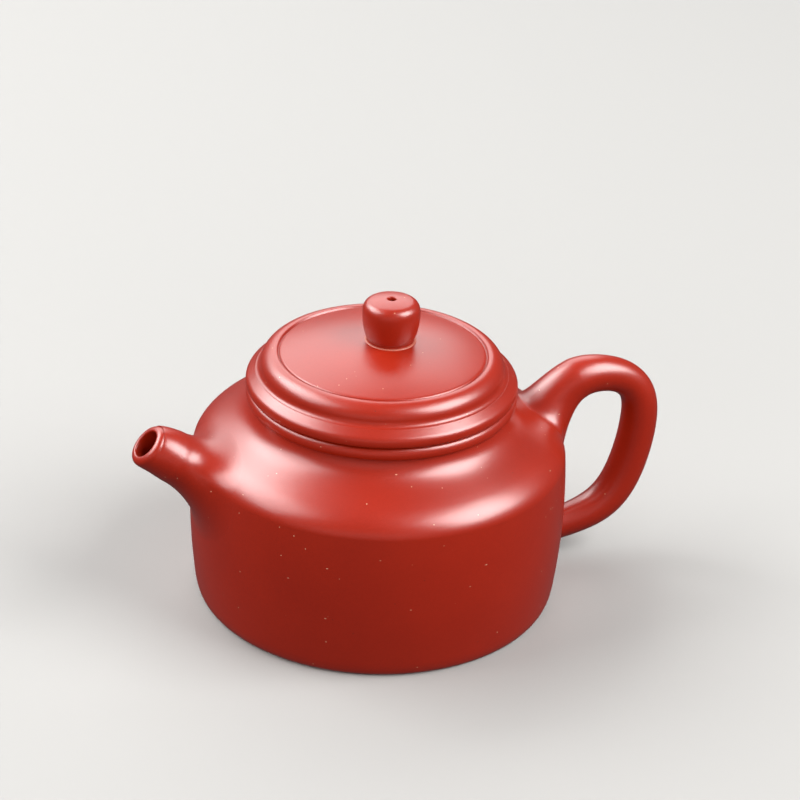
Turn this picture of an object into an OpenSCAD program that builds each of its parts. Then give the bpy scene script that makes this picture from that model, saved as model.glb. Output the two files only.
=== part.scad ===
// Clay teapot of the lidded cylinder kind, luted together from separate pieces
// of rolled, beaten and thrown clay, with a lid that lifts off.
// The table is the plane z = 0, the axis of the pot is Z, the spout points
// along -X and the handle along +X. All sizes are millimetres.

/* [Body] */
// Diameter of the body at the belly of its wall
body_d = 80; // [74:0.5:88]
// Height of the wall, from the table to the foot of the rounded shoulder
wall_h = 34; // [32:0.5:38]
// Thickness of the clay in the wall and the shoulder
clay = 3; // [2.4:0.1:3.4]
// Height that the shoulder climbs from its edge to the mouth bead
shoulder_rise = 10.9; // [9:0.1:12]

/* [Mouth] */
// Diameter across the mouth bead
mouth_d = 56.8; // [54:0.2:60]
// Height of the mouth bead
bead_h = 2.7; // [2.2:0.1:3.2]
// Inner diameter of the mouth
mouth_bore_d = 49; // [46:0.5:50]

/* [Lid] */
// Gap between the lid and the pot all round
lid_gap = 0.2; // [0.15:0.05:0.4]
// Height of the rim band, from its seat to the line under the cove
rim_h = 3.45; // [3:0.05:4]
// Height of the domed lid above its rim band
dome_h = 6.95; // [6:0.05:8]
// Radius of the groove cut round the dome
groove_r = 21.7; // [20:0.1:22.5]
// Depth that the flange reaches down into the mouth
flange_h = 6; // [4:0.5:8]

/* [Knob] */
// Greatest diameter of the knob
knob_d = 12.1; // [10:0.1:14]
// Height of the knob
knob_h = 9.4; // [8:0.1:11]
// Distance that the hand-set knob sits off the axis, towards the handle
knob_shift = 1.5; // [0:0.1:2]
// Diameter of the vent hole that runs down through the knob and the dome
vent_d = 1.8; // [1.5:0.1:2.4]

/* [Spout] */
// Distance of the spout's mouth from the axis of the pot
spout_reach = 50.9; // [49.5:0.1:54]
// Height of the centre of the spout's mouth
spout_z = 40.9; // [39:0.1:43]
// Slope of the spout at its mouth, in degrees above level
spout_slope = 43.5; // [38:0.5:50]
// Outer radius at the spout's mouth
spout_tip_r = 4.65; // [4.3:0.05:5]
// Radius of the hole in the spout's mouth
spout_hole_r = 3; // [2.4:0.1:3.2]

/* [Handle] */
// Distance of the outer edge of the handle from the axis of the pot
handle_reach = 64.3; // [61:0.1:68]
// Height of the crown of the handle
handle_top = 48; // [46:0.2:50]
// Radius of the handle's section at its back
handle_r = 4.05; // [3.6:0.05:4.5]

/* [Hidden] */

clay_red = [0.66, 0.20, 0.12];
clay_red_inside = [0.60, 0.19, 0.12];

// facets of the round pieces, and of the luted limbs round and along
round_fn = 120;
limb_fn = 40;
limb_steps = 32;
root_steps = 8;
seat_steps = 14;

// what the luted pieces leave free on the skin of the body
skin_gap = 0.06;
// how far a limb is searched for the place where it enters the skin
root_search = 25;
tiny = 0.01;

// ---- helpers ----

// Point on a cubic curve through p[0] and p[3], drawn towards p[1] and p[2]
function curve_at(p, t) =
  let (s = 1 - t)
  s*s*s*p[0] + 3*s*s*t*p[1] + 3*s*t*t*p[2] + t*t*t*p[3];

// Points from t = 0 to t = 1 along a cubic curve
function curve(p, n) = [for (i = [0:n]) curve_at(p, i / n)];

function unit(v) = v / norm(v);

// Points of a list but its first, so that curves join without doubles
function rest_of(list) = [for (i = [1:len(list) - 1]) list[i]];

function reversed(list) = [for (i = [len(list) - 1:-1:0]) list[i]];

function running_length(list, i = 0, sum = 0) =
  i == len(list) - 1 ? [sum]
  : concat([sum], running_length(list, i + 1, sum + norm(list[i + 1] - list[i])));

// ---- the skin of the body, as radius and height ----

belly_r = body_d / 2;
heel_h = 3.3;
heel_r = belly_r - 1.1;
foot_r = belly_r - 2.9;
wall_top_r = belly_r - 0.5;
// what the wall's outline is drawn towards, so that it swells to the belly
pull = [belly_r + 0.85, wall_h / 2 + 1.6];
edge_r = belly_r - 3.7;
edge_z = wall_h + 3.3;
edge_slope = 30;
bead_z = wall_h + shoulder_rise;
neck_r = mouth_d / 2 - 0.8;
base_t = 3;

edge_way = [-cos(edge_slope), sin(edge_slope)];

heel_skin = curve([
  [foot_r, 0], [foot_r + 1.1, 0], [heel_r - 0.25, heel_h - 1.8], [heel_r, heel_h]
], 8);
wall_skin = curve([
  [heel_r, heel_h],
  [heel_r, heel_h] + (pull - [heel_r, heel_h]) * 2 / 3,
  [wall_top_r, wall_h] + (pull - [wall_top_r, wall_h]) * 2 / 3,
  [wall_top_r, wall_h]
], 14);
edge_skin = curve([
  [wall_top_r, wall_h], [wall_top_r - 0.25, wall_h + 1.8],
  [edge_r, edge_z] - 2 * edge_way, [edge_r, edge_z]
], 10);
cove_skin = curve([
  [edge_r, edge_z], [edge_r, edge_z] + 5.6 * edge_way,
  [neck_r + 0.4, bead_z - 3.7], [neck_r, bead_z]
], 12);

// The neck ring starts where the cove turns upright
neck_start = 6;

// Whole skin from the heel to the mouth bead, and its length at each point
body_skin = concat(heel_skin, rest_of(wall_skin), rest_of(edge_skin), rest_of(cove_skin));
skin_way = running_length(body_skin);
skin_r_table = [for (i = [0:len(body_skin) - 1]) [skin_way[i], body_skin[i][0]]];
skin_z_table = [for (i = [0:len(body_skin) - 1]) [skin_way[i], body_skin[i][1]]];
wall_way = skin_way[len(heel_skin) + len(wall_skin) - 2];
skin_by_height = [for (p = body_skin) [p[1], p[0]]];

// Point on the skin, s along its outline and w round it, on the side of a limb
function on_skin(s, w, side) =
  let (r = lookup(s, skin_r_table) + skin_gap, z = lookup(s, skin_z_table), a = w / r * 180 / PI)
  [side * r * cos(a), r * sin(a), z];

// ---- the hollow of the pot ----

mouth_bore_r = mouth_bore_d / 2;
neck_seat = cove_skin[neck_start];
side_r = heel_r - clay;
belly_in_r = belly_r - clay + 0.3;
wall_top_in_r = wall_top_r - clay;
floor_r = side_r - 2;
under_z = edge_z - clay;

// where the rounded corner of the floor ends, and the turn under the shoulder
corner_end = [side_r + 0.1, base_t + 2.6];
turn_end = [edge_r - 2, under_z + 0.5];

// Inner outline, from the floor up to the mouth
hollow_line = concat(
  [[0, base_t]],
  curve([[floor_r, base_t], [floor_r + 1.4, base_t], [side_r, base_t + 1], corner_end], 6),
  rest_of(curve([
    corner_end, [belly_in_r, wall_h / 3], [belly_in_r, wall_h * 2 / 3], [wall_top_in_r, wall_h]
  ], 10)),
  rest_of(curve([
    [wall_top_in_r, wall_h], [wall_top_in_r - 0.1, wall_h + 0.5], [edge_r - 1, under_z + 0.1], turn_end
  ], 6)),
  rest_of(curve([
    turn_end, [edge_r - 5, under_z + 2],
    [mouth_bore_r + 3, neck_seat[1] - clay], [mouth_bore_r, neck_seat[1] - clay + 0.6]
  ], 8))
);

module spin(points) {
  rotate_extrude($fn = round_fn) polygon(points);
}

// The hollow as a solid, up to a height
module hollow_body() {
  spin(concat(hollow_line, [[0, hollow_line[len(hollow_line) - 1][1]]]));
}

// ---- the pot's own pieces ----

// Flat disc of clay that the wall stands on
disc_outer = [for (p = body_skin) if (p[1] < base_t) p];
seat_r = lookup(base_t, skin_by_height);

module base_disc() {
  color(clay_red) spin(concat([[0, 0]], disc_outer, [[seat_r, base_t], [0, base_t]]));
}

// Upright band of clay, beaten into a barrel, pierced behind the spout
wall_outer = [for (p = body_skin) if (p[1] > base_t && p[1] < wall_h + tiny) p];
wall_inner = [for (p = hollow_line) if (p[1] > base_t && p[1] < wall_h - tiny) p];

module body_wall() {
  color(clay_red) difference() {
    spin(concat(
      [[floor_r, base_t], [seat_r, base_t]],
      wall_outer,
      [[wall_top_in_r, wall_h]],
      reversed(wall_inner)
    ));
    spout_channel();
  }
}

// Top disc, laid on the wall, with the rounded edge and the opening of the mouth
shoulder_outer = concat(edge_skin, [for (i = [1:neck_start]) cove_skin[i]]);
shoulder_inner = [for (p = hollow_line) if (p[1] > wall_h + tiny) p];

module shoulder_disc() {
  color(clay_red) difference() {
    spin(concat(
      shoulder_outer,
      [[mouth_bore_r, neck_seat[1]]],
      reversed(shoulder_inner),
      [[wall_top_in_r, wall_h]]
    ));
    spout_channel();
  }
}

// Short coved ring that carries the mouth bead
module neck_ring() {
  color(clay_red) spin(concat(
    [[mouth_bore_r, neck_seat[1]]],
    [for (i = [neck_start:len(cove_skin) - 1]) cove_skin[i]],
    [[mouth_bore_r, bead_z]]
  ));
}

// Half-round thread of clay round the mouth
bead_r = mouth_d / 2;
bead_top = bead_z + bead_h;

module mouth_bead() {
  color(clay_red) spin(concat(
    [[mouth_bore_r, bead_z]],
    curve([
      [neck_r, bead_z], [bead_r - 0.1, bead_z - 0.1], [bead_r + 0.2, bead_z + 1], [bead_r, bead_z + 1.6]
    ], 6),
    rest_of(curve([
      [bead_r, bead_z + 1.6], [bead_r - 0.15, bead_z + 2.2],
      [bead_r - 0.6, bead_top], [bead_r - 1.3, bead_top]
    ], 5)),
    [[mouth_bore_r + 0.4, bead_top], [mouth_bore_r, bead_top - 0.4]]
  ));
}

// ---- limbs luted to the skin ----

// Ring of a limb: points round a centre, in the plane across the limb's way.
// A limb lies in the plane y = 0; r is its radius in that plane, and it is wider
// across that plane by flare on each side.
function ring(centre, way, r, flare = 0) =
  [for (i = [0:limb_fn - 1]) let (a = 360 * i / limb_fn)
    centre + r * cos(a) * [-way[2], 0, way[0]] + (r + flare) * sin(a) * [0, 1, 0]];

// Where a line from p along d enters the skin, between the distances near and far
function entry(p, d, near, far, halvings = 20) =
  let (middle = (near + far) / 2, q = p + middle * d)
  halvings == 0 ? p + near * d
  : norm([q[0], q[1]]) < lookup(q[2], skin_by_height) + skin_gap
    ? entry(p, d, near, middle, halvings - 1)
    : entry(p, d, middle, far, halvings - 1);

// Root of a limb: rings that start on an oval on the skin, level with it, and
// sweep up in a hollow curve into the first ring of the limb.
// The oval is [place along the skin, half size along it, half size round it].
// The curve keeps to the skin and to the limb for the same share, keep, of the
// way to the line where the limb, run on straight, would enter the skin.
function root_rings(oval, side, turn, first, way, keep) =
  let (n = len(first))
  [for (k = [0:root_steps - 1])
    [for (i = [0:n - 1]) let (
      foot = oval_point(oval, 360 * i / n, 1, side, turn),
      inner = oval_point(oval, 360 * i / n, 0.95, side, turn),
      meet = entry(first[i], -way, 0, root_search)
    ) curve_at([
      foot,
      foot + keep * norm(meet - foot) * unit(inner - foot),
      first[i] + keep * (meet - first[i]),
      first[i]
    ], k / root_steps)]];

// Point at the angle a of an oval on the skin, shrunk to a share of its size
function oval_point(oval, a, share, side, turn) =
  on_skin(oval[0] + turn * oval[1] * share * cos(a), oval[2] * share * sin(a), side);

// Rings of the seat, shrinking over the skin to the root's middle
function seat_rings(oval, side, turn) =
  [for (k = [1:seat_steps - 1])
    [for (i = [0:limb_fn - 1]) oval_point(oval, 360 * i / limb_fn, k / seat_steps, side, turn)]];

// Closed skin over a stack of rings, with a point closing each end
module stack(rings, start, end) {
  n = len(rings[0]);
  m = len(rings);
  points = concat([start], [for (r = rings) for (p = r) p], [end]);
  last = n * m + 1;
  polyhedron(points, concat(
    [for (i = [0:n - 1]) [0, 1 + i, 1 + (i + 1) % n]],
    [for (k = [0:m - 2]) for (i = [0:n - 1])
      let (a = 1 + k * n + i, b = 1 + k * n + (i + 1) % n) [a, a + n, b]],
    [for (k = [0:m - 2]) for (i = [0:n - 1])
      let (a = 1 + k * n + i, b = 1 + k * n + (i + 1) % n) [b, a + n, b + n]],
    [for (i = [0:n - 1]) let (a = 1 + (m - 1) * n) [last, a + (i + 1) % n, a + i]]
  ));
}

// ---- the spout ----

spout_way = [-cos(spout_slope), 0, sin(spout_slope)];
spout_tip = [-spout_reach, 0, spout_z];
// seat on the skin and how far its root keeps to it, then the limb where it
// leaves its root: radius, extra width, slope
spout_oval = [wall_way - 3.3, 13, 16.5];
spout_keep = 0.62;
spout_root_r = spout_tip_r + 0.7;
spout_flare = 0.9;
spout_root_slope = 35.5;
lip_round = 1.2;
lip_width = 1.3;
spout_first = [-belly_r - 5.5, 0, spout_z - 3.6];
spout_first_way = [-cos(spout_root_slope), 0, sin(spout_root_slope)];
spout_end = spout_tip - lip_round * spout_way;
spout_line = [
  spout_first, spout_first + 3.4 * spout_first_way,
  spout_end - 0.8 * spout_way, spout_end
];
channel_inner = [-(belly_r - clay - 0.2), 0, wall_h - 3.2];
channel_way = unit(spout_tip - channel_inner);
channel_len = norm(spout_tip - channel_inner);
channel_r = 4.3;
channel_start = 3;

function widening(t) = pow(1 - t, 1.35);
function spout_way_at(t) = unit(curve_at(spout_line, t + 0.01) - curve_at(spout_line, t - 0.01));

// Channel from the hollow of the pot to the mouth of the spout
module spout_channel() {
  translate(channel_inner - channel_start * channel_way)
    rotate([0, -acos(channel_way[2]), 0])
      rotate_extrude($fn = 48) polygon([
        [0, 0], [channel_r, 0], [channel_r, channel_start + channel_len * 0.35],
        [spout_hole_r, channel_start + channel_len - 0.9],
        [spout_hole_r + 0.1, channel_start + channel_len - 0.3],
        [spout_hole_r + 0.35, channel_start + channel_len],
        [spout_hole_r + 0.35, channel_start + channel_len + 1],
        [0, channel_start + channel_len + 1]
      ]);
}

spout_steps = 6;
spout_rings = [for (k = [0:spout_steps])
  let (t = k / spout_steps, w = widening(t))
  ring(
    curve_at(spout_line, t), spout_way_at(t),
    spout_tip_r + (spout_root_r - spout_tip_r) * w, spout_flare * w
  )];
spout_lip = [for (a = [22.5:22.5:90])
  ring(spout_end + lip_round * sin(a) * spout_way, spout_way, spout_tip_r - lip_width * (1 - cos(a)))];

module spout() {
  color(clay_red) difference() {
    stack(
      concat(
        seat_rings(spout_oval, -1, -1),
        root_rings(spout_oval, -1, -1, spout_rings[0], spout_first_way, spout_keep),
        spout_rings,
        spout_lip
      ),
      on_skin(spout_oval[0], 0, -1),
      spout_tip
    );
    spout_channel();
  }
}

// Pierced dome of clay inside the wall, in front of the spout's channel
strainer_r = 6.2;
strainer_t = 1.3;
strainer_hole_r = 0.8;
strainer_rows = [[0, 1], [38, 6]];

module spout_strainer() {
  color(clay_red_inside) intersection() {
    difference() {
      translate(channel_inner) sphere(r = strainer_r, $fn = 48);
      translate(channel_inner) sphere(r = strainer_r - strainer_t, $fn = 48);
      for (row = strainer_rows) for (i = [0:row[1] - 1])
        translate(channel_inner)
          rotate([360 * i / row[1], 0, 0])
            rotate([0, 90 - row[0], 0])
              cylinder(r = strainer_hole_r, h = strainer_r + 2, $fn = 16);
    }
    hollow_body();
  }
}

// ---- the handle ----

handle_back = handle_reach - handle_r;
// places that the loop runs past, as radius and height, and its radius beside each
handle_places = [
  [belly_r + 0.2, handle_top - 11.1], [belly_r + 2.8, handle_top - 4],
  [belly_r + 12.2, handle_top - 4], [handle_back - 2, handle_top - 7.1],
  [handle_back + 0.9, handle_top - 13.5], [handle_back - 1.3, handle_top - 27.9],
  [handle_back - 6.5, 10], [belly_r + 1.4, 7]
];
handle_radii = [
  handle_r + 1.6, handle_r + 0.6, handle_r - 0.25, handle_r - 0.5,
  handle_r, handle_r + 0.05, handle_r, handle_r - 0.65
];

// Smooth line drawn past a list of values, u from 0 to its last index: a uniform
// cubic B-spline, with the list run on straight past both ends
function through(list, u) =
  let (
    last = len(list) - 1,
    i = min(floor(u), last - 1),
    t = u - i,
    p1 = list[i],
    p2 = list[i + 1],
    p0 = i > 0 ? list[i - 1] : 2 * p1 - p2,
    p3 = i < last - 1 ? list[i + 2] : 2 * p2 - p1
  )
  (pow(1 - t, 3) * p0 + (3*t*t*t - 6*t*t + 4) * p1 + (-3*t*t*t + 3*t*t + 3*t + 1) * p2 + t*t*t * p3) / 6;

function handle_at(u) = let (p = through(handle_places, u)) [p[0], 0, p[1]];
function handle_way_at(u) = unit(handle_at(u + 0.01) - handle_at(u - 0.01));

// the free loop, as places along its line, and the seats of its two roots
handle_start = 1.12;
handle_end = 6.9;
handle_rings = [for (k = [0:limb_steps])
  let (u = handle_start + (handle_end - handle_start) * k / limb_steps)
  ring(handle_at(u), handle_way_at(u), through(handle_radii, u))];
upper_oval = [wall_way - 3.5, 13.3, 10];
lower_oval = [wall_way - 25.4, 5.6, 5.2];
upper_keep = 0.42;
lower_keep = 0.6;
upper_way = handle_way_at(handle_start);
lower_way = -handle_way_at(handle_end);

module handle() {
  color(clay_red) stack(
    concat(
      seat_rings(upper_oval, 1, 1),
      root_rings(upper_oval, 1, 1, handle_rings[0], upper_way, upper_keep),
      handle_rings,
      reversed(root_rings(lower_oval, 1, -1, handle_rings[limb_steps], lower_way, lower_keep)),
      reversed(seat_rings(lower_oval, 1, -1))
    ),
    on_skin(upper_oval[0], 0, 1),
    on_skin(lower_oval[0], 0, 1)
  );
}

// ---- the lid ----

lid_z = bead_top + lid_gap;
rim_r = bead_r + 0.05;
rim_top = lid_z + rim_h;
rim_line_r = rim_r - 1.95;
flange_r = mouth_bore_r - lid_gap;
flange_t = 2.4;
plate_r = rim_r - 2.9;
plate_t = 2.4;
plate_bore_r = flange_r - flange_t;
dome_top = rim_top + dome_h;
groove_z = rim_top + 3.95;

// Flat ring of clay that closes the underside of the lid round its hollow
module lid_plate() {
  color(clay_red_inside) spin([
    [plate_bore_r, lid_z], [plate_r, lid_z], [plate_r, lid_z + plate_t], [plate_bore_r, lid_z + plate_t]
  ]);
}

// Band of clay round the plate: upright edge, rounded top edge and sloping face
module lid_rim() {
  color(clay_red) spin(concat(
    [[plate_r, lid_z]],
    curve([
      [rim_r - 0.6, lid_z], [rim_r - 0.2, lid_z], [rim_r, lid_z + 0.25], [rim_r + 0.05, lid_z + 0.8]
    ], 4),
    rest_of(curve([
      [rim_r + 0.05, lid_z + 0.8], [rim_r + 0.1, lid_z + 1.7],
      [rim_r - 0.25, lid_z + 2.1], [rim_r - 0.6, lid_z + 2.4]
    ], 6)),
    [[rim_line_r, rim_top], [plate_r, rim_top]]
  ));
}

// Upright ring under the plate that drops into the mouth
module lid_flange() {
  color(clay_red_inside) spin([
    [plate_bore_r, lid_z - flange_h + 0.5], [plate_bore_r + 0.5, lid_z - flange_h],
    [flange_r - 0.5, lid_z - flange_h], [flange_r, lid_z - flange_h + 0.5],
    [flange_r, lid_z], [plate_bore_r, lid_z]
  ]);
}

// Domed disc with its groove, its round roll and the cove that meets the rim
dome_ball_r = pow(groove_r, 2) / 2 / (dome_top - groove_z - 0.1);
dome_skin = [for (i = [0:10]) let (r = (groove_r - 0.35) * i / 10)
  [r, dome_top - dome_ball_r + sqrt(dome_ball_r * dome_ball_r - r * r)]];
groove_skin = [[groove_r - 0.05, groove_z - 0.25], [groove_r + 0.25, groove_z - 0.15]];
roll_skin = curve([
  [groove_r + 0.4, groove_z + 0.15], [groove_r + 1.5, groove_z + 0.5],
  [rim_line_r - 1.1, groove_z - 0.7], [rim_line_r - 0.95, rim_top + 1.25]
], 12);
cove_lid_skin = curve([
  [rim_line_r - 0.95, rim_top + 1.25], [rim_line_r - 0.85, rim_top + 0.5],
  [rim_line_r - 0.5, rim_top + 0.1], [rim_line_r, rim_top]
], 6);
dome_inner = curve([
  [plate_bore_r + 0.6, lid_z + plate_t], [plate_bore_r + 0.2, groove_z - 2.6],
  [groove_r - 7, dome_top - 3.6], [0, dome_top - 2.9]
], 10);

module lid_dome() {
  color(clay_red) difference() {
    spin(concat(reversed(dome_skin), dome_inner_loop()));
    vent();
  }
}

// Outline of the dome's section after its crown, out over the roll and back inside
function dome_inner_loop() = concat(
  reversed(dome_inner),
  [[plate_r, lid_z + plate_t], [plate_r, rim_top]],
  reversed(concat(groove_skin, roll_skin, rest_of(cove_lid_skin)))
);

// Waisted button with a soft upper edge, a slip ring at its foot and the vent
knob_r = knob_d / 2;
knob_foot_r = knob_r - 0.75;
knob_foot_z = dome_top - 0.2;
knob_top = knob_foot_z + knob_h;

module vent() {
  translate([knob_shift, 0, rim_top])
    cylinder(d = vent_d, h = dome_h + knob_h + 1, $fn = 32);
}

module knob() {
  color(clay_red) difference() {
    translate([knob_shift, 0, 0]) spin(concat(
      [[0, dome_top - 1], [knob_foot_r, dome_top - 1], [knob_foot_r, knob_foot_z]],
      curve([
        [knob_r - 0.8, knob_foot_z + 0.15], [knob_r - 1.3, knob_foot_z + 0.3],
        [knob_r - 1.3, knob_foot_z + 0.5], [knob_r - 0.9, knob_foot_z + 0.95]
      ], 4),
      rest_of(curve([
        [knob_r - 0.9, knob_foot_z + 0.95], [knob_r - 0.3, knob_foot_z + 2.6],
        [knob_r, knob_foot_z + 4.4], [knob_r, knob_foot_z + 6.4]
      ], 8)),
      rest_of(curve([
        [knob_r, knob_foot_z + 6.4], [knob_r, knob_foot_z + 7.9],
        [knob_r - 0.6, knob_top - 0.65], [knob_r - 1.8, knob_top - 0.4]
      ], 7)),
      [[knob_r - 3.2, knob_top - 0.15], [0, knob_top]]
    ));
    spin(concat(reversed(dome_skin), [[0, dome_top - 2], [groove_r - 0.35, dome_top - 2]]));
    vent();
  }
}

base_disc();
body_wall();
shoulder_disc();
neck_ring();
mouth_bead();
spout();
spout_strainer();
handle();
lid_plate();
lid_rim();
lid_flange();
lid_dome();
knob();
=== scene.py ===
"""A lidded clay teapot: its looks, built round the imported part.

Every piece of clay is a surface worked out here in millimetres, in the part's
own frame: the table is z = 0, the axis of the pot is Z, the spout points along
-X and the handle along +X. Each piece stands for the node of its name and rides
on the body that holds it, the pot or the lid.
"""
import logging
import math
from dataclasses import dataclass
from enum import Enum

import bpy
import numpy as np
from mathutils import Matrix, Vector


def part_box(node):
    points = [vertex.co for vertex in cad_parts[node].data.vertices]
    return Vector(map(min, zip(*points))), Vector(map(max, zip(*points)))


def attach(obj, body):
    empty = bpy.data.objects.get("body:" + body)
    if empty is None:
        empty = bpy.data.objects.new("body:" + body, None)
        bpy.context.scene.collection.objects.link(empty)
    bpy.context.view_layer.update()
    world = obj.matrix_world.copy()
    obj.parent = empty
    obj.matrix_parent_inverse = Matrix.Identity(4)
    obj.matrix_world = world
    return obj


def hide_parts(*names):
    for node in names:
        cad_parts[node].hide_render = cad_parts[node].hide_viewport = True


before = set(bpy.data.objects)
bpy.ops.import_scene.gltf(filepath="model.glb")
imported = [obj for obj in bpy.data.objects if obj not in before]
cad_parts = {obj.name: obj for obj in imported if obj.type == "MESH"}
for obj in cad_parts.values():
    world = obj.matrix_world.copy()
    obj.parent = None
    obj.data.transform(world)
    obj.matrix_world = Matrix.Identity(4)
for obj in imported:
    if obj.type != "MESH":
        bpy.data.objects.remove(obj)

log = logging.getLogger("teapot")

MM = 0.001
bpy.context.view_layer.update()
Array = np.ndarray
Socket = bpy.types.NodeSocket

# Segments round the turned pieces, and round the spout and the handle
ROUND = 288
LIMB_ROUND = 96

# Rings along a root
ROOT_RINGS = 26

# Lengths below this are nothing, and limbs end this far under the skin
TINY = 1e-6
SINK = 0.02

# How far a rounded corner is drawn into its corner, close to a quarter circle's share
ROUNDNESS = 0.55


class Body(Enum):
    """The two bodies that come apart."""

    POT = "pot"
    LID = "lid"


class Slot(Enum):
    """The record's two finishes of the same clay."""

    BURNISHED = "burnished_clay"
    PLAIN = "plain_clay"


# ---- lines ----


def cubic(a: Array, b: Array, c: Array, d: Array, t: Array) -> Array:
    """Points on cubic curves that run from a to d and are drawn towards b and c on the way.

    Each point is the mean of the four corners, weighted by s^3, 3 s^2 t, 3 s t^2
    and t^3, where s is 1 - t.

    Args:
        a: where the curves start.
        b: the first inner corner.
        c: the second inner corner.
        d: where the curves end.
        t: places along the curves, from 0 to 1, shaped to match the corners.

    Returns:
        The points.
    """
    s = 1 - t
    return s**3 * a + 3 * s * s * t * b + 3 * s * t * t * c + t**3 * d


def bend(corners: list, steps: int) -> Array:
    """One cubic curve past four corners, in a number of equal steps."""
    return cubic(*np.asarray(corners, float), np.linspace(0.0, 1.0, steps + 1)[:, None])


def join(*lines: Array) -> Array:
    """Joins lines end to end and drops each point that repeats the one before it.

    Args:
        lines: arrays of points, in order.

    Returns:
        One array of points.
    """
    points = np.concatenate([np.asarray(line, float).reshape(-1, 2) for line in lines])
    steps = np.linalg.norm(np.diff(points, axis=0), axis=1)
    return points[np.concatenate([[True], steps > TINY])]


def corner(before: tuple, at: tuple, after: tuple, radius: float) -> Array:
    """Rounds the corner between two straight stretches of an outline.

    The curve leaves each stretch at a distance of radius from the corner and is
    drawn towards the corner from both sides.

    Args:
        before: a point on the stretch that comes in.
        at: the corner.
        after: a point on the stretch that goes out.
        radius: how far from the corner the curve starts and ends.

    Returns:
        The points of the rounded corner.
    """
    p, q, r = (np.asarray(v, float) for v in (before, at, after))
    start, end = q + radius * unit(p - q), q + radius * unit(r - q)
    return bend([start, start + ROUNDNESS * (q - start), end + ROUNDNESS * (q - end), end], 5)


def above(line: Array, height: float) -> Array:
    """The stretch of a climbing line from a height upwards, starting on that height."""
    radius = np.interp(height, line[:, 1], line[:, 0])
    return join([[radius, height]], line[line[:, 1] > height])


def below(line: Array, height: float) -> Array:
    """The stretch of a climbing line up to a height, ending on that height."""
    radius = np.interp(height, line[:, 1], line[:, 0])
    return join(line[line[:, 1] < height], [[radius, height]])


def through(values: Array, u: Array) -> Array:
    """A smooth line drawn past a list of values, as a uniform cubic B-spline.

    Between value i and value i + 1 the line is the mean of the four values
    nearest to it, weighted by the cubic B-spline's polynomials, so its slope and
    its bend run on without a break. Past either end the list goes on in a
    straight line, which makes the line start and end at its outer values.

    Args:
        values: the values, one a row.
        u: places along the list, from 0 to its last index.

    Returns:
        One row for each place.
    """
    v = np.asarray(values, float).reshape(len(values), -1)
    v = np.vstack([2 * v[0] - v[1], v, 2 * v[-1] - v[-2]])
    i = np.clip(np.floor(u).astype(int), 0, len(values) - 2)
    t = (u - i)[:, None]
    return (
        (1 - t)**3 * v[i] + (3 * t**3 - 6 * t**2 + 4) * v[i + 1]
        + (-3 * t**3 + 3 * t**2 + 3 * t + 1) * v[i + 2] + t**3 * v[i + 3]
    ) / 6


def unit(v: Array) -> Array:
    """Vectors scaled to a length of 1 along the last axis."""
    v = np.asarray(v, float)
    return v / np.linalg.norm(v, axis=-1, keepdims=True)


# ---- surfaces ----


@dataclass
class Surface:
    """A closed mesh held as whole arrays.

    Attributes:
        points: one row of x, y, z for each vertex, in millimetres.
        quads: the four vertices of each four-sided face.
        triangles: the three vertices of each three-sided face.
    """

    points: Array
    quads: Array
    triangles: Array

    def mesh(self, name: str) -> bpy.types.Mesh:
        """Puts the arrays into a mesh in metres.

        Args:
            name: the name of the mesh.

        Returns:
            The mesh.
        """
        mesh = bpy.data.meshes.new(name)
        corners = np.concatenate([self.quads.ravel(), self.triangles.ravel()])
        sizes = np.concatenate([np.full(len(self.quads), 4), np.full(len(self.triangles), 3)])
        mesh.vertices.add(len(self.points))
        mesh.vertices.foreach_set("co", (self.points * MM).astype(np.float32).ravel())
        mesh.loops.add(len(corners))
        mesh.loops.foreach_set("vertex_index", corners.astype(np.int32))
        mesh.polygons.add(len(sizes))
        starts = np.concatenate([[0], np.cumsum(sizes)[:-1]])
        mesh.polygons.foreach_set("loop_start", starts.astype(np.int32))
        mesh.update(calc_edges=True)
        mesh.validate()
        return mesh


def weave(numbers: Array, wrap: bool) -> tuple[Array, Array]:
    """Faces between the rows of a grid whose rows close on themselves.

    Row i and row i + 1 are joined by a face at each column. Where a row is one
    point, all its numbers are the same and its faces become triangles.

    Args:
        numbers: the vertex number at each row and column.
        wrap: joins the last row to the first as well.

    Returns:
        The four-sided faces and the three-sided ones.
    """
    low = numbers if wrap else numbers[:-1]
    high = np.roll(numbers, -1, axis=0) if wrap else numbers[1:]
    a, b = low.ravel(), np.roll(low, -1, axis=1).ravel()
    d, c = high.ravel(), np.roll(high, -1, axis=1).ravel()
    full = (a != b) & (c != d)
    pole_low, pole_high = (a == b) & (c != d), (a != b) & (c == d)
    quads = np.stack([a, b, c, d], axis=1)[full]
    triangles = np.concatenate([
        np.stack([a, c, d], axis=1)[pole_low],
        np.stack([a, b, c], axis=1)[pole_high],
    ])
    return quads, triangles


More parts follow.
